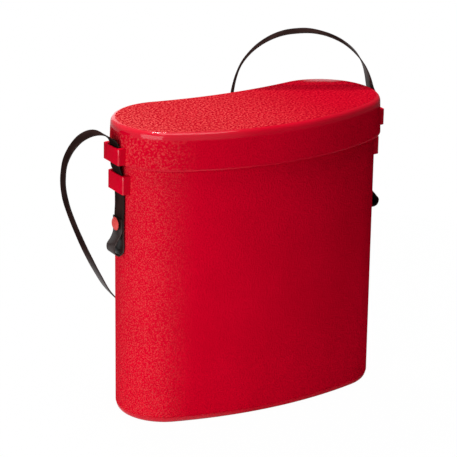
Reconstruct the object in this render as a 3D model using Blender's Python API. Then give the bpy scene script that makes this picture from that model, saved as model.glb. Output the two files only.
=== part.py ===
"""Lidded carry bin.

A moulded bin with a kidney-shaped plan, so that its hollow back sits against the hip.
A deep lid pushes over the rim. A flat strap runs down each end through a keeper on the
lid and a keeper on the bin, folds back on itself in a loop that is too thick to pull
through, and is closed there with a two-piece stud. Between the ends the strap hangs free
behind the bin. The lid stays threaded on the strap and slides up it to open.

Front is -Y, up is +Z, and the origin is under the middle of the lid's plan.
"""

import math

import bmesh
import bpy
from mathutils import Vector

# Sizes are in metres.

# Plan of the bin, at its base and at its straight neck
BASE_LENGTH = 0.2795
BASE_DEPTH = 0.0985
BASE_FRONT_RADIUS = 0.390
NECK_LENGTH = 0.2805
NECK_DEPTH = 0.115
NECK_FRONT_RADIUS = 0.265
BACK_RADIUS = 0.424

# Heights
OVERALL_HEIGHT = 0.300
LID_HEIGHT = 0.038
NECK_BELOW_LID = 0.006

# Bin shell
BIN_WALL = 0.0025
FLOOR_THICKNESS = 0.0028
FLOOR_ROUND = 0.006
BASE_ROUND = 0.0072
FOOT_WIDTH = 0.006
FOOT_HEIGHT = 0.003
RIM_EDGE = 0.0007
BEAD_PROUD = 0.0023
BEAD_HALF_HEIGHT = 0.0035
BEAD_BELOW_RIM = 0.0095

# Lid shell
LID_WALL = 0.0025
LID_ROOF = 0.0025
LID_ROUND = 0.0077
LID_INNER_ROUND = 0.0035
LID_EDGE_ROUND = 0.0007
LID_CLEARANCE = 0.0005
LID_DRAFT = 0.0004
SEAT_GAP = 0.0003

# Strap and the keepers that guide it
STRAP_WIDTH = 0.018
STRAP_THICKNESS = 0.0015
STRAP_SIDE_CLEARANCE = 0.002
STRAP_FACE_CLEARANCE = 0.00135
STRAP_SKIRT_CLEARANCE = 0.00045
STRAP_JOIN_GAP = 0.0003
KEEPER_LEG = 0.004
KEEPER_PLATE = 0.0014
KEEPER_CORNER = 0.001
KEEPER_ROOT = 0.001
LID_KEEPER_HEIGHT = 0.0153
LID_KEEPER_ABOVE_EDGE = 0.002
BIN_KEEPER_HEIGHT = 0.0168
BIN_KEEPER_BELOW_EDGE = 0.011

# Studs that close the strap's end loops
STUD_HEAD_RADIUS = 0.0062
STUD_HEAD_FLARE = 0.0015
STUD_HEAD_DOME = 0.0016
STUD_NECK_RADIUS = 0.0036
STUD_SOCKET_DEPTH = 0.0019
STUD_DISC_RADIUS = 0.005
STUD_DISC = 0.0007
STUD_POST_RADIUS = 0.0022
STUD_POST_CLEARANCE = 0.0003
STUD_GAP = 0.0003
LAYER_GAP = 0.0003

# The two end loops were closed by hand and differ a little: stud below the lid's edge,
# lowest point of the loop below the stud, the loop's reach out from the end wall, and how
# far its widest part lies above its lowest.
END_LOOPS = {
    "left": {"side": -1, "stud_drop": 0.0622, "loop_drop": 0.0311, "reach": 0.0102, "crest_rise": 0.0078},
    "right": {"side": 1, "stud_drop": 0.0575, "loop_drop": 0.0302, "reach": 0.0109, "crest_rise": 0.0062},
}
STUD_FLAT = 0.0065
TAIL_LENGTH = 0.008
LOOP_WALL_GAP = 0.0005
STRAP_WALL_GAP = 0.00055
STRAP_LOW_REACH = 0.0016
STRAP_HIGH_REACH = 0.0032
STRAP_BELOW_LID_REACH = 0.0050
STRAP_BELOW_LID = 0.0025

# Free strap from the left lid keeper to the right one: x, y and z in metres, and the angle
# in degrees by which the strap's width is turned from +Y towards +X.
STRAP_ROUTE = [
    (-0.1487, 0.0096, 0.2825, 0),
    (-0.1571, 0.0102, 0.2901, 0),
    (-0.1621, 0.0109, 0.2930, 2),
    (-0.1670, 0.0117, 0.2940, 4),
    (-0.1719, 0.0127, 0.2936, 7),
    (-0.1812, 0.0154, 0.2890, 12),
    (-0.1874, 0.0187, 0.2811, 15),
    (-0.1920, 0.0234, 0.2684, 16),
    (-0.1916, 0.0309, 0.2482, 14),
    (-0.1841, 0.0402, 0.2200, 10),
    (-0.1743, 0.0468, 0.1982, 8),
    (-0.1628, 0.0530, 0.1759, 6),
    (-0.1505, 0.0587, 0.1534, 4),
    (-0.1368, 0.0644, 0.1304, 5),
    (-0.1206, 0.0702, 0.1066, 7),
    (-0.0920, 0.0765, 0.0815, 9),
    (-0.0600, 0.0795, 0.0715, 11),
    (-0.0310, 0.0810, 0.0755, 13),
    (-0.0080, 0.0810, 0.0950, 15),
    (0.0080, 0.0805, 0.1250, 18),
    (0.0160, 0.0800, 0.1640, 21),
    (0.0190, 0.0790, 0.2080, 25),
    (0.0205, 0.0775, 0.2530, 28),
    (0.0224, 0.0755, 0.2962, 31),
    (0.0249, 0.0743, 0.3087, 34),
    (0.0295, 0.0729, 0.3209, 36),
    (0.0386, 0.0707, 0.3328, 37),
    (0.0490, 0.0681, 0.3414, 36),
    (0.0607, 0.0645, 0.3479, 34),
    (0.0721, 0.0603, 0.3518, 31),
    (0.0832, 0.0555, 0.3534, 26),
    (0.0941, 0.0503, 0.3537, 20),
    (0.1046, 0.0443, 0.3519, 16),
    (0.1147, 0.0377, 0.3483, 18),
    (0.1245, 0.0303, 0.3423, 21),
    (0.1338, 0.0219, 0.3321, 22),
    (0.1404, 0.0179, 0.3206, 18),
    (0.1441, 0.0153, 0.3084, 13),
    (0.1464, 0.0135, 0.2966, 7),
    (0.1474, 0.0119, 0.2918, 3),
    (0.1479, 0.0105, 0.2870, 1),
    (0.1480, 0.0098, 0.2825, 0),
]

# Resolution of curves
FRONT_STEPS = 16
END_STEPS = 18
BACK_STEPS = 10
ROUND_STEPS = 4
STUD_STEPS = 20
STUD_DOME_SWEEP = 80
SHARP_ANGLE = 35
HALVINGS = 60
SAME_PLACE = 1e-6
STRAP_STEP = 0.007
LOOP_STEP = 0.0028

# Values that follow from the sizes above
LID_EDGE = OVERALL_HEIGHT - LID_HEIGHT
NECK_HEIGHT = LID_EDGE - NECK_BELOW_LID
BIN_HEIGHT = OVERALL_HEIGHT - LID_ROOF - SEAT_GAP
LID_GROW = BEAD_PROUD + LID_CLEARANCE + LID_WALL
KEEPER_SLOT_WIDTH = STRAP_WIDTH + 2 * STRAP_SIDE_CLEARANCE
KEEPER_SLOT = STRAP_THICKNESS + 2 * STRAP_FACE_CLEARANCE
KEEPER_WIDTH = KEEPER_SLOT_WIDTH + 2 * KEEPER_LEG
LID_KEEPER_LOW = LID_EDGE + LID_KEEPER_ABOVE_EDGE
LID_KEEPER_HIGH = LID_KEEPER_LOW + LID_KEEPER_HEIGHT
BIN_KEEPER_HIGH = LID_EDGE - BIN_KEEPER_BELOW_EDGE
BIN_KEEPER_LOW = BIN_KEEPER_HIGH - BIN_KEEPER_HEIGHT
LID_FACE = LID_GROW + LID_DRAFT / 2
LID_SLOT_REACH = LID_FACE + KEEPER_SLOT / 2
LID_SKIRT_REACH = LID_GROW + LID_DRAFT + STRAP_SKIRT_CLEARANCE + STRAP_THICKNESS / 2
INNER_LAYER = STUD_DISC + 2 * STUD_GAP + STRAP_THICKNESS / 2
OUTER_LAYER = INNER_LAYER + STRAP_THICKNESS + LAYER_GAP
STUD_HEAD_SEAT = OUTER_LAYER + STRAP_THICKNESS / 2 + STUD_GAP
STRAP_JOIN = (LID_KEEPER_LOW + LID_KEEPER_HIGH) / 2

RED = (0.56, 0.004, 0.012)
BLACK = (0.022, 0.016, 0.015)


def end_arc(length, depth, front_radius, back_radius):
    """Radius and centre of the round end that runs smoothly into the front and back arcs."""
    half = length / 2
    front_y = front_radius - depth / 2
    back_y = back_radius + depth / 2
    low = 0.0
    high = half
    for _ in range(HALVINGS):
        radius = (low + high) / 2
        across = half - radius
        on_front = front_y - math.sqrt((front_radius - radius) ** 2 - across ** 2)
        on_back = back_y - math.sqrt((back_radius + radius) ** 2 - across ** 2)
        if on_front < on_back:
            low = radius
        else:
            high = radius
    return radius, half - radius, on_front


def kidney(length, depth, front_radius, back_radius):
    """Outline of tangent arcs, counter-clockwise from the left end of the front."""
    radius, centre_x, centre_y = end_arc(length, depth, front_radius, back_radius)
    front_y = front_radius - depth / 2
    back_y = back_radius + depth / 2
    front_turn = math.atan2(centre_y - front_y, centre_x)
    back_turn = math.atan2(back_y - centre_y, -centre_x)
    arcs = [
        (0.0, front_y, front_radius, -math.pi - front_turn, front_turn, FRONT_STEPS),
        (centre_x, centre_y, radius, front_turn, back_turn, END_STEPS),
        (0.0, back_y, back_radius, back_turn - math.pi, -back_turn, BACK_STEPS),
        (-centre_x, centre_y, radius, math.pi - back_turn, math.pi - front_turn, END_STEPS),
    ]
    points = []
    for x, y, arc_radius, start, end, steps in arcs:
        for step in range(steps):
            angle = start + (end - start) * step / steps
            points.append((x + arc_radius * math.cos(angle), y + arc_radius * math.sin(angle)))
    return points


NECK_PLAN = (NECK_LENGTH, NECK_DEPTH, NECK_FRONT_RADIUS, BACK_RADIUS)
BASE_PLAN = (BASE_LENGTH, BASE_DEPTH, BASE_FRONT_RADIUS, BACK_RADIUS)
END_RADIUS, _, END_ARC_Y = end_arc(*NECK_PLAN)
PLAN_MIDDLE = (END_ARC_Y + END_RADIUS - NECK_DEPTH / 2) / 2
END_Y = END_ARC_Y - PLAN_MIDDLE


def plan_ring(grow, height):
    """Outline of the bin at a height, grown outwards by a distance."""
    share = min(height / NECK_HEIGHT, 1.0)
    length, depth, front, back = (b + (n - b) * share for b, n in zip(BASE_PLAN, NECK_PLAN))
    outline = kidney(length + 2 * grow, depth + 2 * grow, front + grow, back - grow)
    return [Vector((x, y - PLAN_MIDDLE, height)) for x, y in outline]


def round_profile(centre, radii, start, end):
    """Points of a rounded corner in a wall's section, from one angle to another."""
    points = []
    for step in range(ROUND_STEPS + 1):
        angle = math.radians(start + (end - start) * step / ROUND_STEPS)
        points.append((centre[0] + radii[0] * math.cos(angle), centre[1] + radii[1] * math.sin(angle)))
    return points


def material(name, colour, roughness):
    """Principled material, made once for each name."""
    if name in bpy.data.materials:
        return bpy.data.materials[name]
    made = bpy.data.materials.new(name)
    made.use_nodes = True
    shader = made.node_tree.nodes["Principled BSDF"]
    shader.inputs["Base Color"].default_value = (*colour, 1.0)
    shader.inputs["Roughness"].default_value = roughness
    shader.inputs["Metallic"].default_value = 0.0
    return made


def add_object(name, bm, finish, origin=(0, 0, 0), parent=None):
    """Object from a closed bmesh, with its own origin and outward faces."""
    bmesh.ops.recalc_face_normals(bm, faces=bm.faces)
    bmesh.ops.translate(bm, verts=bm.verts, vec=-Vector(origin))
    mesh = bpy.data.meshes.new(name)
    bm.to_mesh(mesh)
    bm.free()
    mesh.shade_smooth()
    mesh.set_sharp_from_angle(angle=math.radians(SHARP_ANGLE))
    made = bpy.data.objects.new(name, mesh)
    bpy.context.scene.collection.objects.link(made)
    made.location = origin
    if parent:
        made.parent = parent
        made.location = Vector(origin) - parent.location
    if finish:
        mesh.materials.append(finish)
    return made


def add_empty(name, origin):
    """Empty that carries the pieces of one moving body."""
    made = bpy.data.objects.new(name, None)
    bpy.context.scene.collection.objects.link(made)
    made.location = origin
    return made


def loft(rings):
    """Closed body through rings of the same count, capped at the first and last ring."""
    bm = bmesh.new()
    loops = [[bm.verts.new(point) for point in ring] for ring in rings]
    for lower, upper in zip(loops, loops[1:]):
        for i in range(len(lower)):
            bm.faces.new((lower[i - 1], lower[i], upper[i], upper[i - 1]))
    bm.faces.new(loops[0])
    bm.faces.new(loops[-1])
    return bm


def combine(target, tool, operation):
    """Boolean of a target object with a hidden tool object."""
    tool.hide_render = True
    tool.display_type = "WIRE"
    tool.hide_set(True)
    cut = target.modifiers.new(tool.name, "BOOLEAN")
    cut.operation = operation
    cut.solver = "EXACT"
    cut.object = tool


def keeper_bridge(name, side, face_reach, face_radius, low, high):
    """Bridge with a strap slot behind it; its legs are rooted in a round end wall."""
    half = KEEPER_WIDTH / 2
    slot_half = KEEPER_SLOT_WIDTH / 2
    sag = face_radius - math.sqrt(face_radius ** 2 - half ** 2)
    root = face_reach - sag - KEEPER_ROOT
    slot = face_reach + KEEPER_SLOT
    outer = slot + KEEPER_PLATE
    outline = [
        (root, -half), (outer, -half), (outer, half), (root, half),
        (root, slot_half), (slot, slot_half), (slot, -slot_half), (root, -slot_half),
    ]
    bm = bmesh.new()
    verts = [bm.verts.new((side * (NECK_LENGTH / 2 + x), END_Y + y, low)) for x, y in outline]
    face = bm.faces.new(verts)
    raised = bmesh.ops.extrude_face_region(bm, geom=[face])
    top = [item for item in raised["geom"] if isinstance(item, bmesh.types.BMVert)]
    bmesh.ops.translate(bm, verts=top, vec=(0, 0, high - low))
    corner_x = side * (NECK_LENGTH / 2 + outer)
    corners = [
        edge for edge in bm.edges
        if all(abs(vert.co.x - corner_x) < SAME_PLACE for vert in edge.verts)
        and abs(edge.verts[0].co.z - edge.verts[1].co.z) > SAME_PLACE
    ]
    bmesh.ops.bevel(bm, geom=corners, offset=KEEPER_CORNER, segments=2, profile=0.5,
                    affect="EDGES", material=-1)
    return add_object(name, bm, None)


def bin_section():
    """Wall section of the bin: reach out from the plan outline, and height."""
    foot_inner = -BASE_ROUND - FOOT_WIDTH
    floor_top = FOOT_HEIGHT + FLOOR_THICKNESS
    inner_round = -BIN_WALL - FLOOR_ROUND
    section = [(foot_inner - FOOT_HEIGHT, FOOT_HEIGHT), (foot_inner, 0.0)]
    section += round_profile((-BASE_ROUND, BASE_ROUND), (BASE_ROUND, BASE_ROUND), -90, 0)
    section += [(0.0, NECK_HEIGHT)]
    section += round_profile((0.0, BIN_HEIGHT - BEAD_BELOW_RIM), (BEAD_PROUD, BEAD_HALF_HEIGHT), -90, 90)
    section += [(0.0, BIN_HEIGHT - RIM_EDGE), (-RIM_EDGE, BIN_HEIGHT)]
    section += [(RIM_EDGE - BIN_WALL, BIN_HEIGHT), (-BIN_WALL, BIN_HEIGHT - RIM_EDGE)]
    section += [(-BIN_WALL, NECK_HEIGHT)]
    section += round_profile((inner_round, floor_top + FLOOR_ROUND), (FLOOR_ROUND, FLOOR_ROUND), 0, -90)
    return section


def lid_section():
    """Wall section of the lid, from the roof's outer edge round the skirt to the ceiling."""
    inner = LID_GROW - LID_WALL
    outer_edge = LID_GROW + LID_DRAFT
    inner_edge = inner + LID_DRAFT
    ceiling = OVERALL_HEIGHT - LID_ROOF
    outer_centre = (LID_GROW - LID_ROUND, OVERALL_HEIGHT - LID_ROUND)
    inner_centre = (inner - LID_INNER_ROUND, ceiling - LID_INNER_ROUND)
    section = round_profile(outer_centre, (LID_ROUND, LID_ROUND), 90, 0)
    section += [(outer_edge, LID_EDGE + LID_EDGE_ROUND), (outer_edge - LID_EDGE_ROUND, LID_EDGE)]
    section += [(inner_edge + LID_EDGE_ROUND, LID_EDGE), (inner_edge, LID_EDGE + LID_EDGE_ROUND)]
    section += round_profile(inner_centre, (LID_INNER_ROUND, LID_INNER_ROUND), 0, 90)
    return section


def bin_body(finish):
    """Drafted kidney shell with a standing foot, a sealing bead and a keeper at each end."""
    shell = loft([plan_ring(grow, height) for grow, height in bin_section()])
    body = add_object("bin_body", shell, finish)
    for label, loop in END_LOOPS.items():
        bridge = keeper_bridge("bin_keeper_" + label, loop["side"], 0.0, END_RADIUS,
                               BIN_KEEPER_LOW, BIN_KEEPER_HIGH)
        combine(body, bridge, "UNION")


def lid(finish, carrier):
    """Deep cap that follows the neck's plan, with a keeper at each end of its skirt."""
    shell = loft([[Vector((p.x, p.y, height)) for p in plan_ring(grow, NECK_HEIGHT)]
                  for grow, height in lid_section()])
    cap = add_object("lid", shell, finish, carrier.location, carrier)
    for label, loop in END_LOOPS.items():
        bridge = keeper_bridge("lid_keeper_" + label, loop["side"], LID_FACE, END_RADIUS + LID_FACE,
                               LID_KEEPER_LOW, LID_KEEPER_HIGH)
        combine(cap, bridge, "UNION")


def smooth_curve(points, step):
    """Points about a step apart on a smooth curve through the given ones, with their place
    in the list as a running number."""
    spans = [(b - a).length for a, b in zip(points, points[1:])]
    slopes = [(points[1] - points[0]) / spans[0]]
    for i in range(1, len(points) - 1):
        before = (points[i] - points[i - 1]) / spans[i - 1]
        after = (points[i + 1] - points[i]) / spans[i]
        slopes.append((before * spans[i] + after * spans[i - 1]) / (spans[i - 1] + spans[i]))
    slopes.append((points[-1] - points[-2]) / spans[-1])
    curve = []
    for i, span in enumerate(spans):
        count = max(1, round(span / step))
        for k in range(count):
            t = k / count
            start = points[i] * (2 * t ** 3 - 3 * t ** 2 + 1) + slopes[i] * span * (t ** 3 - 2 * t ** 2 + t)
            end = points[i + 1] * (3 * t ** 2 - 2 * t ** 3) + slopes[i + 1] * span * (t ** 3 - t ** 2)
            curve.append((start + end, i + t))
    curve.append((points[-1], float(len(spans))))
    return curve


def strap_strip(centres, turns):
    """Flat strip along a path; each turn swings its width from +Y towards +X."""
    rings = []
    for i, centre in enumerate(centres):
        along = (centres[min(i + 1, len(centres) - 1)] - centres[max(i - 1, 0)]).normalized()
        angle = math.radians(turns[i])
        face = along.cross(Vector((math.sin(angle), math.cos(angle), 0.0))).normalized()
        across = face.cross(along) * STRAP_WIDTH / 2
        face *= STRAP_THICKNESS / 2
        rings.append([centre + across + face, centre - across + face,
                      centre - across - face, centre + across - face])
    return loft(rings)


def strap_free(finish, carrier):
    """Free strap that hangs behind the bin from one lid keeper to the other."""
    reach = NECK_LENGTH / 2 + LID_SLOT_REACH
    foot = STRAP_JOIN + STRAP_JOIN_GAP
    route = [Vector((-reach, END_Y, foot)), Vector((-reach, END_Y, LID_KEEPER_HIGH))]
    route += [Vector(point[:3]) for point in STRAP_ROUTE]
    route += [Vector((reach, END_Y, LID_KEEPER_HIGH)), Vector((reach, END_Y, foot))]
    turns = [0, 0] + [point[3] for point in STRAP_ROUTE] + [0, 0]
    curve = smooth_curve(route, STRAP_STEP)
    angles = []
    for _, place in curve:
        i = min(int(place), len(turns) - 2)
        angles.append(turns[i] + (turns[i + 1] - turns[i]) * (place - i))
    centres = [point for point, _ in curve]
    length = sum((b - a).length for a, b in zip(centres, centres[1:]))
    print("free strap length in metres:", round(length, 3))
    add_object("strap_free", strap_strip(centres, angles), finish, carrier.location, carrier)


def end_loop_path(loop):
    """Path of a strap end as distance out from the end wall and height: down through both
    keepers, over the stud's disc, round the loop, and back up outside under the stud's cap."""
    half = STRAP_THICKNESS / 2
    stud_height = LID_EDGE - loop["stud_drop"]
    bottom = stud_height - loop["loop_drop"] + half
    widest = bottom + loop["crest_rise"]
    crest = loop["reach"] - half
    wall_side = LOOP_WALL_GAP + half
    flank = (stud_height - STUD_FLAT + widest) / 2
    return [
        (LID_SLOT_REACH, STRAP_JOIN),
        (LID_SKIRT_REACH, LID_EDGE + LID_EDGE_ROUND),
        (STRAP_BELOW_LID_REACH, LID_EDGE - STRAP_BELOW_LID),
        (STRAP_HIGH_REACH, BIN_KEEPER_HIGH),
        (STRAP_LOW_REACH, BIN_KEEPER_LOW),
        (STRAP_WALL_GAP + half, (BIN_KEEPER_LOW + stud_height + STUD_FLAT) / 2),
        (INNER_LAYER, stud_height + STUD_FLAT),
        (INNER_LAYER, stud_height),
        (INNER_LAYER, stud_height - STUD_FLAT),
        ((INNER_LAYER + wall_side) / 2, flank),
        (wall_side, widest),
        ((crest + wall_side) / 2, bottom),
        (crest, widest),
        ((OUTER_LAYER + crest) / 2, flank),
        (OUTER_LAYER, stud_height - STUD_FLAT),
        (OUTER_LAYER, stud_height),
        (OUTER_LAYER, stud_height + TAIL_LENGTH),
    ]


def stud_hole(name, side, height):
    """Tool for the hole through both layers of a strap end."""
    bm = bmesh.new()
    bmesh.ops.create_cone(bm, cap_ends=True, segments=STUD_STEPS,
                          radius1=STUD_POST_RADIUS + STUD_POST_CLEARANCE,
                          radius2=STUD_POST_RADIUS + STUD_POST_CLEARANCE,
                          depth=2 * STUD_HEAD_SEAT)
    turn = Vector((0, 0, 1)).rotation_difference(Vector((1, 0, 0)))
    bmesh.ops.rotate(bm, verts=bm.verts, matrix=turn.to_matrix())
    bmesh.ops.translate(bm, verts=bm.verts, vec=(side * (NECK_LENGTH / 2 + OUTER_LAYER), END_Y, height))
    return add_object(name, bm, None)


def strap_end(label, finish):
    """Folded strap end with a loop below the bin keeper and a hole for the stud."""
    loop = END_LOOPS[label]
    stud_height = LID_EDGE - loop["stud_drop"]
    route = [Vector((loop["side"] * (NECK_LENGTH / 2 + out), END_Y, height))
             for out, height in end_loop_path(loop)]
    centres = [point for point, _ in smooth_curve(route, LOOP_STEP)]
    made = add_object("strap_end_" + label, strap_strip(centres, [0] * len(centres)), finish)
    combine(made, stud_hole("stud_hole_" + label, loop["side"], stud_height), "DIFFERENCE")


def turned(profile, side, height):
    """Body turned about a line along X: radius and distance out from the end wall."""
    rings = []
    for radius, out in profile:
        ring = []
        for step in range(STUD_STEPS):
            angle = 2 * math.pi * step / STUD_STEPS
            ring.append(Vector((side * (NECK_LENGTH / 2 + out),
                                END_Y + radius * math.cos(angle),
                                height + radius * math.sin(angle))))
        rings.append(ring)
    return loft(rings)


def stud(label, finish):
    """Two-piece stud: a disc with a post behind the strap, and a flared cap in front."""
    side = END_LOOPS[label]["side"]
    height = LID_EDGE - END_LOOPS[label]["stud_drop"]
    origin = (side * NECK_LENGTH / 2, END_Y, height)
    disc_face = STUD_GAP + STUD_DISC
    post_tip = STUD_HEAD_SEAT + STUD_SOCKET_DEPTH - STUD_POST_CLEARANCE
    post = [(STUD_DISC_RADIUS, STUD_GAP), (STUD_DISC_RADIUS, disc_face),
            (STUD_POST_RADIUS, disc_face), (STUD_POST_RADIUS, post_tip)]
    add_object("stud_post_" + label, turned(post, side, height), finish, origin)
    socket = STUD_POST_RADIUS + STUD_POST_CLEARANCE
    socket_end = STUD_HEAD_SEAT + STUD_SOCKET_DEPTH
    rim = STUD_HEAD_SEAT + STUD_HEAD_FLARE
    cap = [(socket, socket_end), (socket, STUD_HEAD_SEAT), (STUD_NECK_RADIUS, STUD_HEAD_SEAT)]
    for step in range(ROUND_STEPS + 1):
        angle = math.radians(STUD_DOME_SWEEP * step / ROUND_STEPS)
        cap.append((STUD_HEAD_RADIUS * math.cos(angle), rim + STUD_HEAD_DOME * math.sin(angle)))
    add_object("stud_cap_" + label, turned(cap, side, height), finish, origin)


def build():
    """Clear the scene and model every piece."""
    for old in list(bpy.data.objects):
        bpy.data.objects.remove(old, do_unlink=True)
    bin_red = material("bin_red", RED, 0.35)
    lid_red = material("lid_red", RED, 0.35)
    stud_red = material("stud_red", RED, 0.25)
    strap_black = material("strap_black", BLACK, 0.45)
    lid_slide = add_empty("lid_slide", (0, 0, LID_EDGE))
    bin_body(bin_red)
    lid(lid_red, lid_slide)
    strap_free(strap_black, lid_slide)
    for label in END_LOOPS:
        strap_end(label, strap_black)
        stud(label, stud_red)


build()
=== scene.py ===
# %% [markdown]
# # A carry bin on a strap
# The object is a red moulded bin with a kidney-shaped plan, a deep lid pushed over its rim, and a
# flat dark strap. The strap runs down each end through a keeper on the lid and one on the bin, and
# folds back there in a loop closed by a stud. The imported model gives the sizes, the joints and
# a node for each piece. This lesson dresses each node, so the first step is to load it.

# %% Load the frame
import math

import bmesh
import bpy
from mathutils import Matrix, Vector


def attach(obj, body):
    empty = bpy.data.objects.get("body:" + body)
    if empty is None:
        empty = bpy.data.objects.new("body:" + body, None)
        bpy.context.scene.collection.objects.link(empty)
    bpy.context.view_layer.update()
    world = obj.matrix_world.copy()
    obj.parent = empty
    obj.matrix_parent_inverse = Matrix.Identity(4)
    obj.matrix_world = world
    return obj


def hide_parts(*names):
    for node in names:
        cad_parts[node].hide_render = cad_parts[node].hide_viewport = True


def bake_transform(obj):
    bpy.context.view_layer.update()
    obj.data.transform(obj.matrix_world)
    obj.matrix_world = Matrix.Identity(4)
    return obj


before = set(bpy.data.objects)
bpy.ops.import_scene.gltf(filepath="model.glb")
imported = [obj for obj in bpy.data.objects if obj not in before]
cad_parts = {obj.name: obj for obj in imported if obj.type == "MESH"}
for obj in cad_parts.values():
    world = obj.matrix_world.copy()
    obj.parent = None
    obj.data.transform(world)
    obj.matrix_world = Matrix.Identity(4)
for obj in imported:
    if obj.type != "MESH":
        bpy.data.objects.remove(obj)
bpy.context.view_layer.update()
print("nodes:", sorted(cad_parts))

# %% [markdown]
# ## Camera
# The view is from the front left and a little above, through a long lens, so upright edges stay
# nearly parallel. A camera can be aimed with a constraint, but writing its matrix from three axes
# also holds the slight roll, and nothing has to be solved later.

# %% Camera
AIM = Vector((-0.02712, -0.00412, 0.18009))
AZIMUTH = math.radians(-30.915)
ELEVATION = math.radians(19.085)
ROLL = math.radians(1.159)
DISTANCE = 2.6794
LENS_MM = 214.53
SENSOR_MM = 36

backward = Vector((math.sin(AZIMUTH) * math.cos(ELEVATION),
                   -math.cos(AZIMUTH) * math.cos(ELEVATION), math.sin(ELEVATION)))
level = Vector((0, 0, 1)).cross(backward).normalized()
upward = backward.cross(level)
camera = bpy.data.objects.new("camera", bpy.data.cameras.new("camera"))
camera.data.lens = LENS_MM
camera.data.sensor_width = SENSOR_MM
right_axis = level * math.cos(ROLL) + upward * math.sin(ROLL)
up_axis = upward * math.cos(ROLL) - level * math.sin(ROLL)
camera.matrix_world = Matrix.Translation(AIM + backward * DISTANCE) @ Matrix(
    (right_axis, up_axis, backward)).transposed().to_4x4()
bpy.context.scene.collection.objects.link(camera)
bpy.context.scene.camera = camera
bpy.context.scene.view_settings.view_transform = "Standard"
print("camera at", [round(x, 3) for x in camera.location])

# %% [markdown]
# ## Shader sums
# Materials here are written as sums. A wire holds one shader socket, and adding or multiplying
# wires adds the Math nodes. Every other node comes from one method, which takes the node's type,
# its settings and what feeds its sockets. Drawing the same trees by hand would be slower to read.


# %% A wire for shader sums
class Wire:
    """One socket of a shader tree, which takes part in Python sums."""

    def __init__(self, socket):
        self.socket = socket

    def node(self, kind, settings, feeds, out=0):
        """A node in this wire's tree: its type, its settings, and values or wires for sockets."""
        tree = self.socket.id_data
        made = tree.nodes.new("ShaderNode" + kind)
        for name, value in settings.items():
            setattr(made, name, value)
        for name, value in feeds.items():
            if isinstance(value, Wire):
                tree.links.new(value.socket, made.inputs[name])
            else:
                made.inputs[name].default_value = value
        return Wire(made.outputs[out])

    def math(self, operation, first, second=0.0, third=0.0):
        return self.node("Math", {"operation": operation}, {0: first, 1: second, 2: third})

    def __add__(self, other):
        return self.math("ADD", self, other)

    def __sub__(self, other):
        return self.math("SUBTRACT", self, other)

    def __rsub__(self, other):
        return self.math("SUBTRACT", other, self)

    def __mul__(self, other):
        return self.math("MULTIPLY", self, other)

    __radd__ = __add__
    __rmul__ = __mul__

    def band(self, low, high):
        """0 below low and 1 above high, with a smooth step between them."""
        return self.node("MapRange", {"interpolation_type": "SMOOTHSTEP"},
                         {"Value": self, "From Min": low, "From Max": high})

    def part(self, axis):
        """One coordinate of a vector."""
        return self.node("SeparateXYZ", {}, {"Vector": self}, axis)

    def tint(self, first, second):
        """Colour that goes from the first to the second as this wire goes from 0 to 1."""
        return self.node("Mix", {"data_type": "RGBA"}, {0: self, 6: first, 7: second}, 2)

    def noise(self, scale, detail=2.0, rough=0.5):
        """Cloudy value about 0.5 at this many cells to a metre; this wire is the place."""
        return self.node("TexNoise", {}, {"Vector": self, "Scale": scale, "Detail": detail,
                                          "Roughness": rough})


def start_finish(name):
    """New material: its shader's inputs and a wire with the place on the piece."""
    made = bpy.data.materials.new(name)
    made.use_nodes = True
    nodes = made.node_tree.nodes
    place = Wire(nodes.new("ShaderNodeTexCoord").outputs["Object"])
    return made, nodes["Principled BSDF"].inputs, place


def link(wire, socket):
    wire.socket.id_data.links.new(wire.socket, socket)


print("shader sums ready")

# %% [markdown]
# ## Red moulding
# The bin and the lid are moulded in one red plastic. Its walls carry a spark grain, between one and
# two millimetres across, which scatters highlights into speckle, while rounded edges and keepers
# came out of a polished part of the tool. One function makes all of these finishes from masks, which
# are functions of the place on the piece. Grain gives bump and roughness, its tips get a painted
# highlight, a paler tint where it sparkles under the lamps, and its pits get painted shade, darker
# where light comes from above. Polish gives a thin clear gloss, which is a coat in the shader. A
# texture painted by hand would look right at one size only.

# %% Red moulding
RED = (0.64, 0.0010, 0.0195, 1.0)
RED_DEEP = (0.59, 0.0008, 0.0170, 1.0)
# RED_PIT_SHADE is painted shade: the grain's pits darkened where light comes from above.
RED_PIT_SHADE = (0.36, 0.0004, 0.0090, 1.0)
# RED_SPARK_HIGHLIGHT is a painted highlight: paler red where the grain would sparkle under the
# lamps.
RED_SPARK_HIGHLIGHT = (0.79, 0.100, 0.090, 1.0)
MM = 0.001
WALL_FLECKS, LID_FLECKS = 760.0, 470.0


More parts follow.
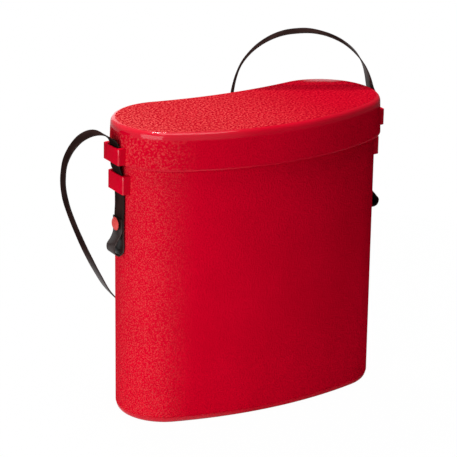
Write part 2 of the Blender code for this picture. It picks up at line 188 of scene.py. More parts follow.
def red_moulding(name, grain_mask, highlight_mask, pit_shade_mask, gloss, fleck_scale=WALL_FLECKS):
    """Red plastic; the masks turn the place on the piece into 1 on grain, where painted highlights
    make grain sparkle and where painted shade darkens its pits, and gloss gives the strength of the
    polish between them."""
    made, shader, place = start_finish(name)
    mask = grain_mask(place)
    pits = place.node("TexVoronoi", {"feature": "SMOOTH_F1"},
                      {"Vector": place, "Scale": 640.0, "Smoothness": 0.3})
    grain = pits * 0.8 + place.noise(1300.0, 2.0, 0.6) * 0.5
    clouds = place.noise(16.0, 3.0)
    fleck = place.noise(fleck_scale, 2.0, 0.6)
    # Painted highlight: flecks of the grain tinted paler where the lamps would make them sparkle.
    painted_sparkle = fleck.band(0.44, 0.66) * highlight_mask(place)
    # Painted shade: pits of the grain darkened where light comes from above.
    dark = (1 - fleck.band(0.36, 0.60)) * pit_shade_mask(place)
    wall = clouds.band(0.3, 0.75).tint(RED_DEEP, RED)
    link(painted_sparkle.tint(dark.tint(wall, RED_PIT_SHADE), RED_SPARK_HIGHLIGHT), shader["Base Color"])
    link(0.3 + mask * 0.14 + (clouds - 0.5) * 0.06, shader["Roughness"])
    link(gloss(place, 1 - mask), shader["Coat Weight"])
    ripple = place.noise(60.0, 2.0) * 0.1
    bump = place.node("Bump", {}, {"Strength": 0.9, "Distance": 0.0006,
                                   "Height": grain * mask + ripple})
    link(bump, shader["Normal"])
    shader["Specular IOR Level"].default_value = 0.0
    shader["Coat Roughness"].default_value = 0.1
    return made


def nowhere(place):
    """Mask that is 0 all over."""
    return place.part(2) * 0.0


def left_painted_sparkle(place):
    """Painted highlight: sparkle of the left end, which faces the light."""
    return (1 - place.part(0).band(-130 * MM, -85 * MM)) * 0.42


def left_gloss(place, smooth):
    """Polish that is best towards the left end."""
    return smooth * (0.42 - place.part(0).band(-95 * MM, -20 * MM) * 0.34)


print("red moulding ready")

# %% [markdown]
# ## The plan
# Seen from above, bin and lid are a kidney: a bulging front, a hollow back and two round ends, all
# tangent arcs. Points could be typed in, but spinning one vertex about each arc's centre in turn
# draws the outline exactly, and it can be grown or shrunk by changing the radii.

# %% Kidney outline by four spins
OVERALL_HEIGHT = 0.300
LID_EDGE = 0.262
NECK_HEIGHT = 0.256
NECK_PLAN = (0.2805, 0.115, 0.265, 0.424)
BASE_PLAN = (0.2795, 0.0985, 0.390, 0.424)
FRONT_STEPS, END_STEPS, BACK_STEPS = 72, 60, 44


def end_arc(length, depth, front_radius, back_radius):
    """Radius and centre of the round end that is tangent to the front and back arcs."""
    low, high = 0.0, length / 2
    for _ in range(60):
        radius = (low + high) / 2
        across = length / 2 - radius
        on_front = front_radius - depth / 2 - math.sqrt((front_radius - radius) ** 2 - across ** 2)
        on_back = back_radius + depth / 2 - math.sqrt((back_radius + radius) ** 2 - across ** 2)
        low, high = (radius, high) if on_front < on_back else (low, radius)
    return radius, length / 2 - radius, on_front


END_RADIUS, END_X, END_ARC_Y = end_arc(*NECK_PLAN)
PLAN_MIDDLE = (END_ARC_Y + END_RADIUS - NECK_PLAN[1] / 2) / 2
END_Y = END_ARC_Y - PLAN_MIDDLE


def outline(bm, plan, grow, height):
    """Closed loop of edges along the kidney plan, grown outwards by a distance."""
    length, depth, front, back = plan
    plan = (length + 2 * grow, depth + 2 * grow, front + grow, back - grow)
    radius, end_x, end_y = end_arc(*plan)
    front_y = plan[2] - plan[1] / 2
    back_y = plan[3] + plan[1] / 2
    front_turn = math.atan2(end_x, front_y - end_y)
    back_turn = math.atan2(end_x, back_y - end_y)
    spins = [((0, front_y), 2 * front_turn, FRONT_STEPS),
             ((end_x, end_y), math.pi - front_turn + back_turn, END_STEPS),
             ((0, back_y), -2 * back_turn, BACK_STEPS),
             ((-end_x, end_y), math.pi - front_turn + back_turn, END_STEPS)]
    first = bm.verts.new((-plan[2] * math.sin(front_turn),
                          front_y - plan[2] * math.cos(front_turn) - PLAN_MIDDLE, height))
    last, verts = first, [first]
    for (x, y), angle, steps in spins:
        before = set(bm.verts)
        swept = bmesh.ops.spin(bm, geom=[last], cent=(x, y - PLAN_MIDDLE, height),
                               axis=(0, 0, 1), angle=angle, steps=steps)
        last = [v for v in swept["geom_last"] if isinstance(v, bmesh.types.BMVert)][0]
        verts += [v for v in bm.verts if v not in before]
    bmesh.ops.weld_verts(bm, targetmap={last: first})
    loop = {edge for vert in verts if vert.is_valid for edge in vert.link_edges}
    return list(loop)


print("end radius in mm:", round(END_RADIUS / MM, 2))

# %% [markdown]
# ## From mesh to piece
# Each finished mesh becomes an object at the origin with its finish, rides on a body of the packed
# model and stands in for its node. Faces are shaded smooth, with an edge kept sharp only where two
# faces meet at a real angle, because the rounds are modelled and need no help.


# %% From mesh to piece
def finish_piece(name, bm, finish, body=None, stands_for=(), sharp=32):
    """Object from a bmesh, dressed, riding on a body and standing in for nodes."""
    bmesh.ops.recalc_face_normals(bm, faces=bm.faces)
    mesh = bpy.data.meshes.new(name)
    bm.to_mesh(mesh)
    bm.free()
    mesh.shade_smooth()
    mesh.set_sharp_from_angle(angle=math.radians(sharp))
    mesh.materials.append(finish)
    made = bpy.data.objects.new(name, mesh)
    bpy.context.scene.collection.objects.link(made)
    if body:
        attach(made, body)
    if stands_for:
        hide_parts(*stands_for)
    print(name, "has", len(mesh.polygons), "faces")
    return made


def level_loop(bm, height):
    """Edges that lie level at a height."""
    return [e for e in bm.edges if all(abs(v.co.z - height) < 1e-5 for v in e.verts)]


def round_off(bm, edges, radius, segments, fullness=0.5):
    """Bevel of a radius; a fullness above 0.5 squares it a little."""
    return bmesh.ops.bevel(bm, geom=edges, offset=radius, segments=segments, profile=fullness,
                           affect="EDGES", material=-1, clamp_overlap=False)


print("ready to make pieces")

# %% [markdown]
# ## Bin
# The bin is a drafted shell: its base is shallower and flatter in front than its neck. A block could
# be carved, but a shell of two lofts is closer to the moulding: the core of the tool makes
# the inner one and the cavity the outer one. Each loft bridges spun outlines. A half-round bead near
# the rim grips the lid. A ledge half a millimetre deep marks where the rounded foot begins, and the
# underside stands on a narrow ring round a recess.

# %% Bin
BIN_HEIGHT = 0.2972
BIN_WALL = 0.0025
FLOOR_TOP = 0.0058
FLOOR_ROUND = 0.006
BASE_ROUND = 0.0072
FOOT_WIDTH = 0.006
FOOT_HEIGHT = 0.003
LEDGE_LOW, LEDGE_HIGH, LEDGE_DEPTH = 0.0075, 0.0080, 0.0005
BEAD_HEIGHT, BEAD_REACH, BEAD_HALF, BEAD_STEPS = 0.2877, 0.0018, 0.0035, 8
RIM_ROUND = 0.0007
RIM_LIFT = 0.004


def bridge(bm, rings):
    """Faces from each ring to the next."""
    for lower, upper in zip(rings, rings[1:]):
        bmesh.ops.bridge_loops(bm, edges=lower + upper)


bm = bmesh.new()
ledge_plan = [low + (high - low) * LEDGE_HIGH / NECK_HEIGHT
              for low, high in zip(BASE_PLAN, NECK_PLAN)]
outer = [outline(bm, BASE_PLAN, -LEDGE_DEPTH, 0.0),
         outline(bm, ledge_plan, -LEDGE_DEPTH, LEDGE_LOW),
         outline(bm, ledge_plan, 0.0, LEDGE_HIGH),
         outline(bm, NECK_PLAN, 0.0, NECK_HEIGHT)]
for step in range(BEAD_STEPS + 1):
    turn = math.radians(-90 + 180 * step / BEAD_STEPS)
    outer.append(outline(bm, NECK_PLAN, BEAD_REACH * math.cos(turn),
                         BEAD_HEIGHT + BEAD_HALF * math.sin(turn)))
outer.append(outline(bm, NECK_PLAN, 0.0, BIN_HEIGHT))
bridge(bm, outer)
inner = [outline(bm, BASE_PLAN, -BIN_WALL, FLOOR_TOP),
         outline(bm, NECK_PLAN, -BIN_WALL, NECK_HEIGHT),
         outline(bm, NECK_PLAN, -BIN_WALL, BIN_HEIGHT - RIM_LIFT)]
bridge(bm, inner)
# The rim joins rings at two heights, which bridge cleanly, and is then lifted level.
rim_low = {v for e in inner[-1] for v in e.verts}
bridge(bm, [outer[-1], inner[-1]])
bmesh.ops.translate(bm, verts=list(rim_low), vec=(0, 0, RIM_LIFT))
bmesh.ops.contextual_create(bm, geom=inner[0])
base = bmesh.ops.contextual_create(bm, geom=outer[0])["faces"]
bmesh.ops.inset_region(bm, faces=base, thickness=BASE_ROUND + FOOT_WIDTH, use_even_offset=True)
bmesh.ops.inset_region(bm, faces=base, thickness=FOOT_HEIGHT, use_even_offset=True)
bmesh.ops.translate(bm, verts=list(base[0].verts), vec=(0, 0, FOOT_HEIGHT))
round_off(bm, [e for e in outer[0] if e.is_valid], BASE_ROUND, 10)
round_off(bm, [e for e in inner[0] if e.is_valid], FLOOR_ROUND, 6)
round_off(bm, level_loop(bm, BIN_HEIGHT), RIM_ROUND, 3)


def bin_grain(place):
    """Grain on the walls, none on the rounded base."""
    return place.part(2).band(6.2 * MM, 7.6 * MM)


# Painted highlight: grain sparkle on the walls towards the lit left end.
def bin_painted_sparkle(place):
    return bin_grain(place) * left_painted_sparkle(place)


bin_finish = red_moulding("bin_red_moulding", bin_grain, bin_painted_sparkle, nowhere, left_gloss)
finish_piece("bin_shell", bm, bin_finish, "bin", ["bin_body"])

# %% [markdown]
# ## Lid
# The lid follows the neck's plan, 4.5 mm larger all round, with a generous round on top. Its skirt
# spreads a millimetre more towards the open edge, so that it leaves the tool. Outlines are bridged
# into a closed block, and the underside is inset by the wall and pushed up as the hollow. Each edge
# then gets the radius that it has on the moulding.

# %% Lid
LID_GROW = 0.0045
LID_DRAFT = 0.0012
LID_WALL = 0.0023
LID_ROOF = 0.0025
LID_ROUND, LID_FULLNESS = 0.0077, 0.61
LID_INNER_ROUND = 0.0035
LID_LIP_ROUND = 0.0008
ROOF_INSET = 0.0015

bm = bmesh.new()
skirt = [outline(bm, NECK_PLAN, LID_GROW + LID_DRAFT, LID_EDGE),
         outline(bm, NECK_PLAN, LID_GROW, OVERALL_HEIGHT - LID_ROUND),
         outline(bm, NECK_PLAN, LID_GROW, OVERALL_HEIGHT)]
bridge(bm, skirt)
bmesh.ops.contextual_create(bm, geom=skirt[-1])
underside = bmesh.ops.contextual_create(bm, geom=skirt[0])["faces"]
bmesh.ops.inset_region(bm, faces=underside, thickness=LID_WALL, use_even_offset=True)
hollow = bmesh.ops.extrude_face_region(bm, geom=underside)
hollow_verts = [v for v in hollow["geom"] if isinstance(v, bmesh.types.BMVert)]
bmesh.ops.translate(bm, verts=hollow_verts, vec=(0, 0, OVERALL_HEIGHT - LID_ROOF - LID_EDGE))
bmesh.ops.delete(bm, geom=[f for f in underside if f.is_valid], context="FACES_ONLY")
round_off(bm, level_loop(bm, OVERALL_HEIGHT), LID_ROUND, 14, LID_FULLNESS)
round_off(bm, level_loop(bm, OVERALL_HEIGHT - LID_ROOF), LID_INNER_ROUND, 6)
round_off(bm, level_loop(bm, LID_EDGE), LID_LIP_ROUND, 4)
roof = max((f for f in bm.faces if abs(f.calc_center_median().z - OVERALL_HEIGHT) < 1e-5),
           key=lambda f: f.calc_area())
for _ in range(2):
    bmesh.ops.inset_region(bm, faces=[roof], thickness=ROOF_INSET, use_even_offset=True)


def roof_grain(place):
    return place.part(2).band(299.55 * MM, 299.95 * MM)


def lid_grain(place):
    """Grain on the roof and the skirt, none on the rounded edge between them or the lower lip."""
    height = place.part(2)
    above_lip = height.band(263.2 * MM, 264.2 * MM)
    return above_lip * (1 - height.band(291.5 * MM, 293.5 * MM)) + roof_grain(place)


def lid_painted_sparkle(place):
    """Painted highlight: sparkle on the roof, less of it to the right, and on the left end of the
    skirt.
    """
    roof_part = roof_grain(place) * (1 - place.part(0).band(-60 * MM, 90 * MM) * 0.9)
    return roof_part * 0.8 + lid_grain(place) * left_painted_sparkle(place)


def lid_gloss(place, smooth):
    """Polish of the left end, with a well-handled stretch of the back edge at the right end."""
    along, back = place.part(0) - END_X, place.part(1) - END_Y
    inside, outside = END_RADIUS - 14 * MM, END_RADIUS - 5 * MM
    rim = (along * along + back * back).band(inside ** 2, outside ** 2)
    handled = rim * along.band(0, 20 * MM) * back.band(26 * MM, 36 * MM)
    top = place.part(2).band(296.5 * MM, 298.5 * MM)
    return left_gloss(place, smooth) + handled * top * 0.8


# The roof's grain mask also sets where the grain's pits get painted shade.
lid_finish = red_moulding("lid_red_moulding", lid_grain, lid_painted_sparkle, roof_grain, lid_gloss,
                          LID_FLECKS)
finish_piece("lid_shell", bm, lid_finish, "lid", ["lid"])

# %% [markdown]
# ## Strap keepers
# A keeper is a bridge across the end wall with a slot behind it for the strap. It is moulded in one
# with the wall. The eight corners of its plan make a face, an extrusion gives its height, and
# bevels soften it. Its legs are sunk in the wall, as the plastic runs on there. Fingers and clothes
# polish its two upright corners, so these alone shine.

# %% Strap keepers
STRAP_WIDTH = 0.018
STRAP_THICKNESS = 0.0012
SLOT = 0.0048
SLOT_WIDTH = 0.022
KEEPER_LEG = 0.004
KEEPER_PLATE = 0.0016
KEEPER_SUNK = 0.001
KEEPER_HALF = SLOT_WIDTH / 2 + KEEPER_LEG
KEEPER_ROUND, SLOT_ROUND, LIP_ROUND = 0.0012, 0.0006, 0.00045
NECK_HALF = NECK_PLAN[0] / 2


def keeper_finish(name, reach):
    """Smooth red with polish on the two upright corners of the plate alone."""
    face = NECK_HALF + reach + SLOT + KEEPER_PLATE

    def near(distance, limit):
        return distance.math("ABSOLUTE", distance).band(limit - 1.6 * MM, limit - 0.8 * MM)

    def corner_gloss(place, smooth):
        corner = near(place.part(1) - END_Y, KEEPER_HALF) * near(place.part(0), face)
        return smooth * (corner * 0.9 + 0.03)

    return red_moulding(name, nowhere, nowhere, nowhere, corner_gloss)


def keeper(name, side, reach, low, high, slot, body, finish):
    """Bridge from one height to another, on a wall at a distance out from the bin's neck."""
    wall_radius = END_RADIUS + reach
    chord = math.sqrt(wall_radius ** 2 - KEEPER_HALF ** 2)
    root = reach - wall_radius + chord - KEEPER_SUNK
    inner, plate = reach + SLOT, reach + SLOT + KEEPER_PLATE
    corners = [(root, -KEEPER_HALF), (plate, -KEEPER_HALF), (plate, KEEPER_HALF),
               (root, KEEPER_HALF), (root, SLOT_WIDTH / 2), (inner, SLOT_WIDTH / 2),
               (inner, -SLOT_WIDTH / 2), (root, -SLOT_WIDTH / 2)]
    bm = bmesh.new()
    plan = bm.faces.new([bm.verts.new((side * (NECK_HALF + x), END_Y + y, low))
                         for x, y in corners])
    top = bmesh.ops.extrude_face_region(bm, geom=[plan], use_keep_orig=True)
    bmesh.ops.translate(bm, vec=(0, 0, high - low),
                        verts=[v for v in top["geom"] if isinstance(v, bmesh.types.BMVert)])
    upright = [e for e in bm.edges if abs(e.verts[0].co.z - e.verts[1].co.z) > 1e-4]
    outside = [e for e in upright if abs(e.verts[0].co.x) > NECK_HALF + inner + 1e-5]
    slot_corners = [e for e in upright if abs(abs(e.verts[0].co.x) - NECK_HALF - inner) < 1e-5]
    round_off(bm, outside, KEEPER_ROUND, 5)
    round_off(bm, slot_corners, SLOT_ROUND, 3)
    lips = [e for e in bm.edges if abs(e.verts[0].co.z - e.verts[1].co.z) < 1e-6
            and all(abs(v.co.x) > NECK_HALF + root + 1e-5 for v in e.verts)]
    round_off(bm, lips, LIP_ROUND, 3)
    return finish_piece(name, bm, finish, body, sharp=40)


LID_KEEPER = (0.2628, 0.2793)
BIN_KEEPER = (0.2327, 0.2510)
LID_FACE = LID_GROW + LID_DRAFT / 2
lid_keeper_red = keeper_finish("lid_keeper_red", LID_FACE)
bin_keeper_red = keeper_finish("bin_keeper_red", 0.0)
for label, side in (("left", -1), ("right", 1)):
    keeper("lid_keeper_" + label, side, LID_FACE, *LID_KEEPER, "lid_red", "lid", lid_keeper_red)
    keeper("bin_keeper_" + label, side, 0.0, *BIN_KEEPER, "bin_red", "bin", bin_keeper_red)

# %% [markdown]
# ## Strap finish
# The strap is dark brown, nearly black, with a fine pebbled surface. It is dull except where hands
# have polished it: the low bight, the folded loops and the rise at the right. Its cut edges are a
# little greyer than its faces. The mesh carries a number that runs from -1 to 1 across the strap, so
# the finish can find the edges wherever the strap bends, which a place in space could not tell.

# %% Strap finish
STRAP_DARK = (0.015, 0.0075, 0.0068, 1.0)
STRAP_BROWN = (0.033, 0.0165, 0.0145, 1.0)
STRAP_EDGE = (0.028, 0.018, 0.016, 1.0)


def strap_finish(name, worn_below, dull_above):
    """Dark strap whose left side shines below one height and is dull above another."""
    made, shader, place = start_finish(name)
    drift = place.noise(45.0, 3.0)
    pebble = place.node("TexVoronoi", {"feature": "SMOOTH_F1"},
                        {"Vector": place, "Scale": 1100.0, "Smoothness": 0.5})
    across = place.node("Attribute", {"attribute_name": "across"}, {}, "Fac")
    edge = across.math("ABSOLUTE", across).band(0.93, 0.985)
    face = drift.band(0.3, 0.7).tint(STRAP_DARK, STRAP_BROWN)
    link(edge.tint(face, STRAP_EDGE), shader["Base Color"])
    link(0.42 + drift * 0.14 + edge * 0.1, shader["Roughness"])
    across_bin, height = place.part(0), place.part(2)
    handled = (1 - height.band(worn_below, dull_above)) * (1 - across_bin.band(-100 * MM, 50 * MM))
    right_rise = across_bin.band(120 * MM, 138 * MM) * height.band(280 * MM, 300 * MM)
    link(handled * 0.5 + right_rise * 0.3, shader["Coat Weight"])
    shader["Coat Roughness"].default_value = 0.3
    bump = place.node("Bump", {}, {"Strength": 0.35, "Distance": 0.00025,
                                   "Height": pebble + drift * 0.5})
    link(bump, shader["Normal"])
    shader["Specular IOR Level"].default_value = 0.0
    return made


strap_dark = strap_finish("strap_dark", 105 * MM, 165 * MM)
fold_dark = strap_finish("fold_dark", 190 * MM, 210 * MM)
print("strap finishes ready")

# %% [markdown]
# ## Strap
# A strap bends easily across its face and hardly at all edgewise, so its shape is a path of its
# centre and a direction for its width. Cloth simulation would lose its firm arch, so the strap is
# made directly: a rounded section is extruded from station to station along a smooth curve, with one
# transform for each step.

# %% Free strap
STRAP_JOIN = (LID_KEEPER[0] + LID_KEEPER[1]) / 2
LID_SLOT_X = NECK_HALF + LID_FACE + SLOT / 2
SECTION_ROUND = 0.0005
JOIN_GAP = 0.0003
FREE_STEP = 0.003
# x, y, z of the strap's middle line, and the turn of its width in degrees
STRAP_ROUTE = [
    (-0.1487, 0.0096, 0.2825, 0), (-0.1571, 0.0102, 0.2901, 0), (-0.1621, 0.0109, 0.2930, 2),
    (-0.1670, 0.0117, 0.2940, 4), (-0.1719, 0.0127, 0.2936, 7), (-0.1812, 0.0154, 0.2890, 12),
    (-0.1874, 0.0187, 0.2811, 15), (-0.1920, 0.0234, 0.2684, 16), (-0.1916, 0.0309, 0.2482, 14),
    (-0.1841, 0.0402, 0.2200, 8), (-0.1743, 0.0468, 0.1982, 6), (-0.1628, 0.0530, 0.1759, 4),
    (-0.1505, 0.0587, 0.1534, 2), (-0.1368, 0.0644, 0.1304, 3), (-0.1206, 0.0702, 0.1066, 7),
    (-0.0920, 0.0765, 0.0815, 9), (-0.0600, 0.0795, 0.0715, 11), (-0.0310, 0.0810, 0.0755, 13),
    (-0.0080, 0.0810, 0.0950, 15), (0.0080, 0.0805, 0.1250, 18), (0.0160, 0.0800, 0.1640, 21),
    (0.0190, 0.0790, 0.2080, 24), (0.0205, 0.0775, 0.2530, 25), (0.0224, 0.0755, 0.2962, 27),
    (0.0249, 0.0743, 0.3087, 31), (0.0295, 0.0729, 0.3209, 35), (0.0386, 0.0707, 0.3328, 37),
    (0.0490, 0.0681, 0.3414, 36), (0.0607, 0.0645, 0.3479, 34), (0.0721, 0.0603, 0.3518, 31),
    (0.0832, 0.0555, 0.3534, 26), (0.0941, 0.0503, 0.3537, 20), (0.1046, 0.0443, 0.3519, 16),
    (0.1147, 0.0377, 0.3483, 20), (0.1245, 0.0303, 0.3423, 23), (0.1338, 0.0219, 0.3321, 25),
    (0.1404, 0.0179, 0.3206, 20), (0.1441, 0.0153, 0.3084, 13), (0.1464, 0.0135, 0.2966, 7),
    (0.1474, 0.0119, 0.2918, 3), (0.1479, 0.0105, 0.2870, 1), (0.1480, 0.0098, 0.2825, 0),
]


def smooth_curve(points, step):
    """Points about a step apart on a smooth curve through the given ones; a fourth number of each
    point is carried along."""
    spans = [(Vector(b[:3]) - Vector(a[:3])).length for a, b in zip(points, points[1:])]
    points = [Vector(p) for p in points]
    slopes = [(points[1] - points[0]) / spans[0]]
    for i in range(1, len(points) - 1):
        before = (points[i] - points[i - 1]) / spans[i - 1]
        after = (points[i + 1] - points[i]) / spans[i]
        slopes.append((before * spans[i] + after * spans[i - 1]) / (spans[i - 1] + spans[i]))
    slopes.append((points[-1] - points[-2]) / spans[-1])
    curve = []
    for i, span in enumerate(spans):
        count = max(1, round(span / step))
        for t in (k / count for k in range(count)):
            start = (points[i] * (2 * t ** 3 - 3 * t ** 2 + 1)
                     + slopes[i] * span * (t ** 3 - 2 * t ** 2 + t))
            end = (points[i + 1] * (3 * t ** 2 - 2 * t ** 3)
                   + slopes[i + 1] * span * (t ** 3 - t ** 2))
            curve.append(start + end)
    return curve + [points[-1]]


def strap_mesh(stations):
    """Rounded flat section extruded along stations of x, y, z and the turn of its width."""
    centres = [Vector(s[:3]) for s in stations]
    frames = []
    for i, centre in enumerate(centres):
        along = (centres[min(i + 1, len(centres) - 1)] - centres[max(i - 1, 0)]).normalized()
        turn = math.radians(stations[i][3])
        face = along.cross(Vector((math.sin(turn), math.cos(turn), 0))).normalized()
        axes = Matrix((face.cross(along), face, along)).transposed().to_4x4()
        frames.append(Matrix.Translation(centre) @ axes)
    bm = bmesh.new()
    across = bm.verts.layers.float.new("across")
    section = bmesh.ops.create_grid(bm, x_segments=1, y_segments=1, size=0.5)["verts"]
    bmesh.ops.scale(bm, verts=section, vec=(STRAP_WIDTH, STRAP_THICKNESS, 1))
    bmesh.ops.bevel(bm, geom=bm.verts[:], offset=SECTION_ROUND, segments=3, profile=0.5,
                    affect="VERTICES", material=-1)
    for vert in bm.verts:
        vert[across] = 2 * vert.co.x / STRAP_WIDTH
    bmesh.ops.transform(bm, verts=bm.verts, matrix=frames[0])
    ring = bm.edges[:]
    for here, there in zip(frames, frames[1:]):
        step = bmesh.ops.extrude_edge_only(bm, edges=ring)["geom"]
        ring = [e for e in step if isinstance(e, bmesh.types.BMEdge)
                and all(v in step for v in e.verts)]
        moved = list({v for e in ring for v in e.verts})
        bmesh.ops.transform(bm, verts=moved, matrix=there @ here.inverted())
    bmesh.ops.contextual_create(bm, geom=ring)
    return bm


slot_heights = (STRAP_JOIN + JOIN_GAP, LID_KEEPER[1])
left_slot, right_slot = ([(side * LID_SLOT_X, END_Y, z, 0) for z in slot_heights]
                         for side in (-1, 1))
free_path = smooth_curve(left_slot + STRAP_ROUTE + right_slot[::-1], FREE_STEP)
strap = finish_piece("strap", strap_mesh(free_path), strap_dark, "lid",
                     ["strap_free"], sharp=50)

# %% [markdown]
# ## Strap ends
# Below the bin keeper each end lies against the wall, turns outwards in a loop and comes back up
# outside, where a stud holds both layers. The path is drawn as distance out from the end wall and
# height. The short run between the two keepers has to stretch when the lid goes up, so it is a piece
# of its own; here it rides on neither the bin nor the lid.

# %% Strap ends
GAP = 0.0003
WALL_GAP = 0.0005
SKIRT_GAP = 0.00045
STUD_DISC = 0.0005
STUD_FLAT = 0.0065
TAIL = 0.0062
LOOP_STEP, LEG_STEP = 0.0012, 0.0008
HALF = STRAP_THICKNESS / 2
INNER_LAYER = WALL_GAP + STUD_DISC + GAP + HALF
OUTER_LAYER = INNER_LAYER + STRAP_THICKNESS + GAP
STUD_SEAT = OUTER_LAYER + HALF + GAP
LEG_MIDDLE = (0.0027, (BIN_KEEPER[0] + BIN_KEEPER[1]) / 2, 0)
# side, turn of the fold in degrees, the stud's height, and the shape of the loop: how far it drops
# below the stud, where it opens, how far it stands out from the wall and how tall its bottom is
END_LOOPS = {"left": (-1, 9.0, 0.1998, (0.0311, 0.0095, 0.0115, 0.0080)),
             "right": (1, -9.0, 0.2045, (0.0302, 0.0125, 0.0127, 0.0060))}


def end_loop(stud, drop, opens, reach, rise):
    """Distance out from the end wall, height and share of the turn, from inside the bin keeper to
    the tail under the stud."""
    bottom = stud - drop + HALF
    crest = reach - HALF
    wall_side = WALL_GAP + HALF
    inset = 0.14 * (crest - wall_side)
    corner = bottom + 0.24 * rise
    flank = (stud - opens + bottom + rise) / 2
    down = [LEG_MIDDLE, (0.0019, BIN_KEEPER[0], 0),
            (0.0007 + HALF, (BIN_KEEPER[0] + stud + STUD_FLAT) / 2, 0),
            (INNER_LAYER, stud + STUD_FLAT, 0), (INNER_LAYER, stud, 0),
            (INNER_LAYER, stud - STUD_FLAT, 0), ((INNER_LAYER + wall_side) / 2, flank, 0)]
    fold = [(wall_side, bottom + rise, 0), (wall_side + inset, corner, 0),
            ((crest + wall_side) / 2, bottom, 0), (crest - inset, corner, 0.2),
            (crest, bottom + rise, 0.5)]
    back_up = [((OUTER_LAYER + crest) / 2, flank, 1), (OUTER_LAYER + 0.0005, stud - opens, 0.45),
               (OUTER_LAYER, stud - STUD_FLAT, 0.1), (OUTER_LAYER, stud, 0),
               (OUTER_LAYER, stud + TAIL, 0)]
    return down + fold + back_up


def end_path(side, turn, route):
    """Stations in space along a route of distance out, height and share of the turn."""
    return [(side * (NECK_HALF + out), END_Y, z, turn * share) for out, z, share in route]


LEG = [LEG_MIDDLE, (0.00375, BIN_KEEPER[1], 0), (0.0062, LID_EDGE - 0.0045, 0),
       (LID_GROW + LID_DRAFT + SKIRT_GAP + HALF, LID_EDGE + 0.0007, 0),
       (LID_FACE + SLOT / 2, STRAP_JOIN, 0)]
for label, (side, turn, stud, shape) in END_LOOPS.items():
    path = end_path(side, turn, end_loop(stud, *shape))
    loop = strap_mesh(smooth_curve(path, LOOP_STEP))
    finish_piece("strap_loop_" + label, loop, fold_dark, "bin",
                                     ["strap_end_" + label], sharp=50)
    path = end_path(side, turn, LEG)
    leg = finish_piece("strap_leg_" + label, strap_mesh(smooth_curve(path, LEG_STEP)), strap_dark,
                       sharp=50)
    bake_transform(leg)

# %% [markdown]
# ## Studs
# Each loop is closed with a two-piece stud: a disc with a post behind the strap and a flared cap in
# front, pressed together. Both are turned shapes, so a profile of a few points is spun
# about the post's axis.

# %% Studs
HEAD_RADIUS, HEAD_RISE, HEAD_EDGE = 0.0062, 0.0016, 0.0021
FLARE_RADIUS, FLARE_TOP = 0.0066, 0.0018
CAP_RADIUS, CAP_ROUND = 0.0037, 0.0002
SOCKET_RADIUS, SOCKET_DEPTH = 0.0025, 0.0019
POST_RADIUS, POST_LENGTH, POST_CHAMFER = 0.0022, 0.0016, 0.0003
DISC_RADIUS, DISC_ROUND = 0.005, 0.0002
STUD_RED, STUD_PALE = (0.62, 0.055, 0.052, 1), (0.68, 0.085, 0.078, 1)

stud_finish, stud_shader, place = start_finish("stud_red_moulding")
link(place.noise(300.0).band(0.3, 0.7).tint(STUD_RED, STUD_PALE), stud_shader["Base Color"])
stud_shader["Roughness"].default_value = 0.35
stud_shader["Specular IOR Level"].default_value = 0.05


def turned(profile, side, height):
    """Profile of distance out and radius, spun about the stud's axis."""
    bm = bmesh.new()
    verts = [bm.verts.new((side * (NECK_HALF + out), END_Y + radius, height))
             for out, radius in profile]
    edges = [bm.edges.new(pair) for pair in zip(verts, verts[1:])]
    bmesh.ops.spin(bm, geom=verts + edges, cent=(0, END_Y, height), axis=(1, 0, 0),
                   angle=2 * math.pi, steps=48, use_merge=True)
    bmesh.ops.remove_doubles(bm, verts=bm.verts, dist=1e-6)
    return bm


dome = [math.radians(a) for a in range(0, 91, 6)]
head = [(SOCKET_DEPTH, 0.0), (SOCKET_DEPTH, SOCKET_RADIUS), (0.0, SOCKET_RADIUS),
        (0.0, CAP_RADIUS - 0.0003), (CAP_ROUND, CAP_RADIUS), (FLARE_TOP, FLARE_RADIUS)]
head += [(HEAD_EDGE + HEAD_RISE * math.sin(a), HEAD_RADIUS * math.cos(a)) for a in dome]
head = [(STUD_SEAT + out, radius) for out, radius in head]
disc_face, post_end = WALL_GAP + STUD_DISC, STUD_SEAT + POST_LENGTH
disc = [(WALL_GAP, 0.0), (WALL_GAP, DISC_RADIUS - DISC_ROUND), (WALL_GAP + DISC_ROUND, DISC_RADIUS),
        (disc_face, DISC_RADIUS), (disc_face, POST_RADIUS), (post_end - POST_CHAMFER, POST_RADIUS),
        (post_end, POST_RADIUS - POST_CHAMFER), (post_end, 0.0)]
for label, (side, _, stud, _) in END_LOOPS.items():
    for name, profile, node in (("head", head, "stud_cap_"), ("disc", disc, "stud_post_")):
        finish_piece("stud_" + name + "_" + label, turned(profile, side, stud),
                                         stud_finish, "bin", [node + label])

# %% [markdown]

# %% [markdown]
# ## Stage and light
# The bin stands on a small white table in a white studio. A large softbox low on the left models the
# bulging front, a narrow lamp behind and above lays the strap's soft shadow on the lid, a broad one
# above lights the lid and leaves the wall darker under it, and a weak one keeps the back from going
# black. Table and studio show white to the camera and in reflections, and the table keeps a trace
# of shadow.

# %% Stage and light
TABLE_RADIUS = 0.6
TABLE_WHITE = 0.985
AMBIENT = 0.045
BIN_MIDDLE, LID_TOP = (0, 0, 0.17), (0, 0, 0.3)

bm = bmesh.new()
bmesh.ops.create_circle(bm, cap_ends=True, segments=64, radius=TABLE_RADIUS)
floor_mesh = bpy.data.meshes.new("studio_table")
bm.to_mesh(floor_mesh)
bm.free()
studio_table = bpy.data.objects.new("studio_table", floor_mesh)
bpy.context.scene.collection.objects.link(studio_table)


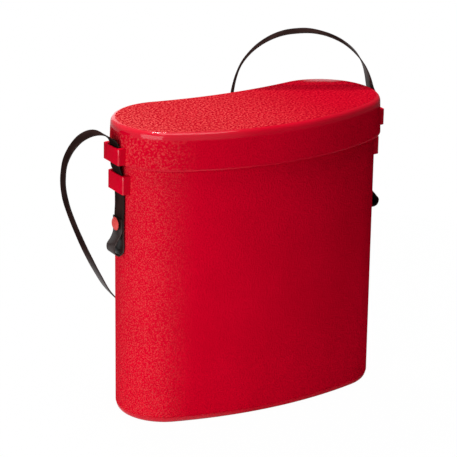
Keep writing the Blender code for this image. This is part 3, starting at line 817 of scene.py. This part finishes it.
def seen_directly(tree):
    """Wire that is 1 for what the camera sees, by itself or in a reflection or through glass."""
    path = tree.nodes.new("ShaderNodeLightPath")
    camera_ray, glossy, through = (Wire(path.outputs[name]) for name in (
        "Is Camera Ray", "Is Glossy Ray", "Is Transmission Ray"))
    return camera_ray.math("MAXIMUM", camera_ray.math("MAXIMUM", camera_ray, glossy), through)


table_finish, table_shader, _ = start_finish("studio_table")
table_shader["Base Color"].default_value = (0.82, 0.82, 0.82, 1)
table_shader["Roughness"].default_value = 0.9
tree = table_finish.node_tree
sight = seen_directly(tree)
white = sight.node("Emission", {}, {"Color": (1, 1, 1, 1), "Strength": 1.0})
matt = Wire(tree.nodes["Principled BSDF"].outputs[0])
shown = sight.node("MixShader", {}, {0: sight * TABLE_WHITE, 1: matt, 2: white})
link(shown, tree.nodes["Material Output"].inputs["Surface"])
floor_mesh.materials.append(table_finish)

world = bpy.data.worlds.new("studio")
world.use_nodes = True
bpy.context.scene.world = world
back = world.node_tree.nodes["Background"]
back.inputs["Color"].default_value = (1, 1, 1, 1)
link(AMBIENT + seen_directly(world.node_tree) * (1 - AMBIENT), back.inputs["Strength"])


def softbox(name, azimuth, elevation, distance, width, height, power, target=BIN_MIDDLE):
    """Area light in degrees round from the front and up, in metres and watts, aimed at a point."""
    lamp = bpy.data.lights.new(name, "AREA")
    lamp.shape = "RECTANGLE"
    lamp.size, lamp.size_y, lamp.energy = width, height, power
    a, e = math.radians(azimuth), math.radians(elevation)
    way = Vector((math.sin(a) * math.cos(e), -math.cos(a) * math.cos(e), math.sin(e)))
    made = bpy.data.objects.new(name, lamp)
    made.matrix_world = (Matrix.Translation(Vector(target) + way * distance)
                         @ way.to_track_quat("Z", "Y").to_matrix().to_4x4())
    bpy.context.scene.collection.objects.link(made)


softbox("key_left", -64, 12, 1.4, 1.0, 1.0, 16)
softbox("overhead", 180, 66, 1.2, 0.3, 0.08, 7.5, LID_TOP)
softbox("front_top", -20, 82, 1.5, 0.9, 0.9, 14.5)
softbox("back_fill", 165, 18, 1.6, 1.0, 1.0, 7)
print("studio lit")

# %% [markdown]
# ## End

# %% End
print("scene built")
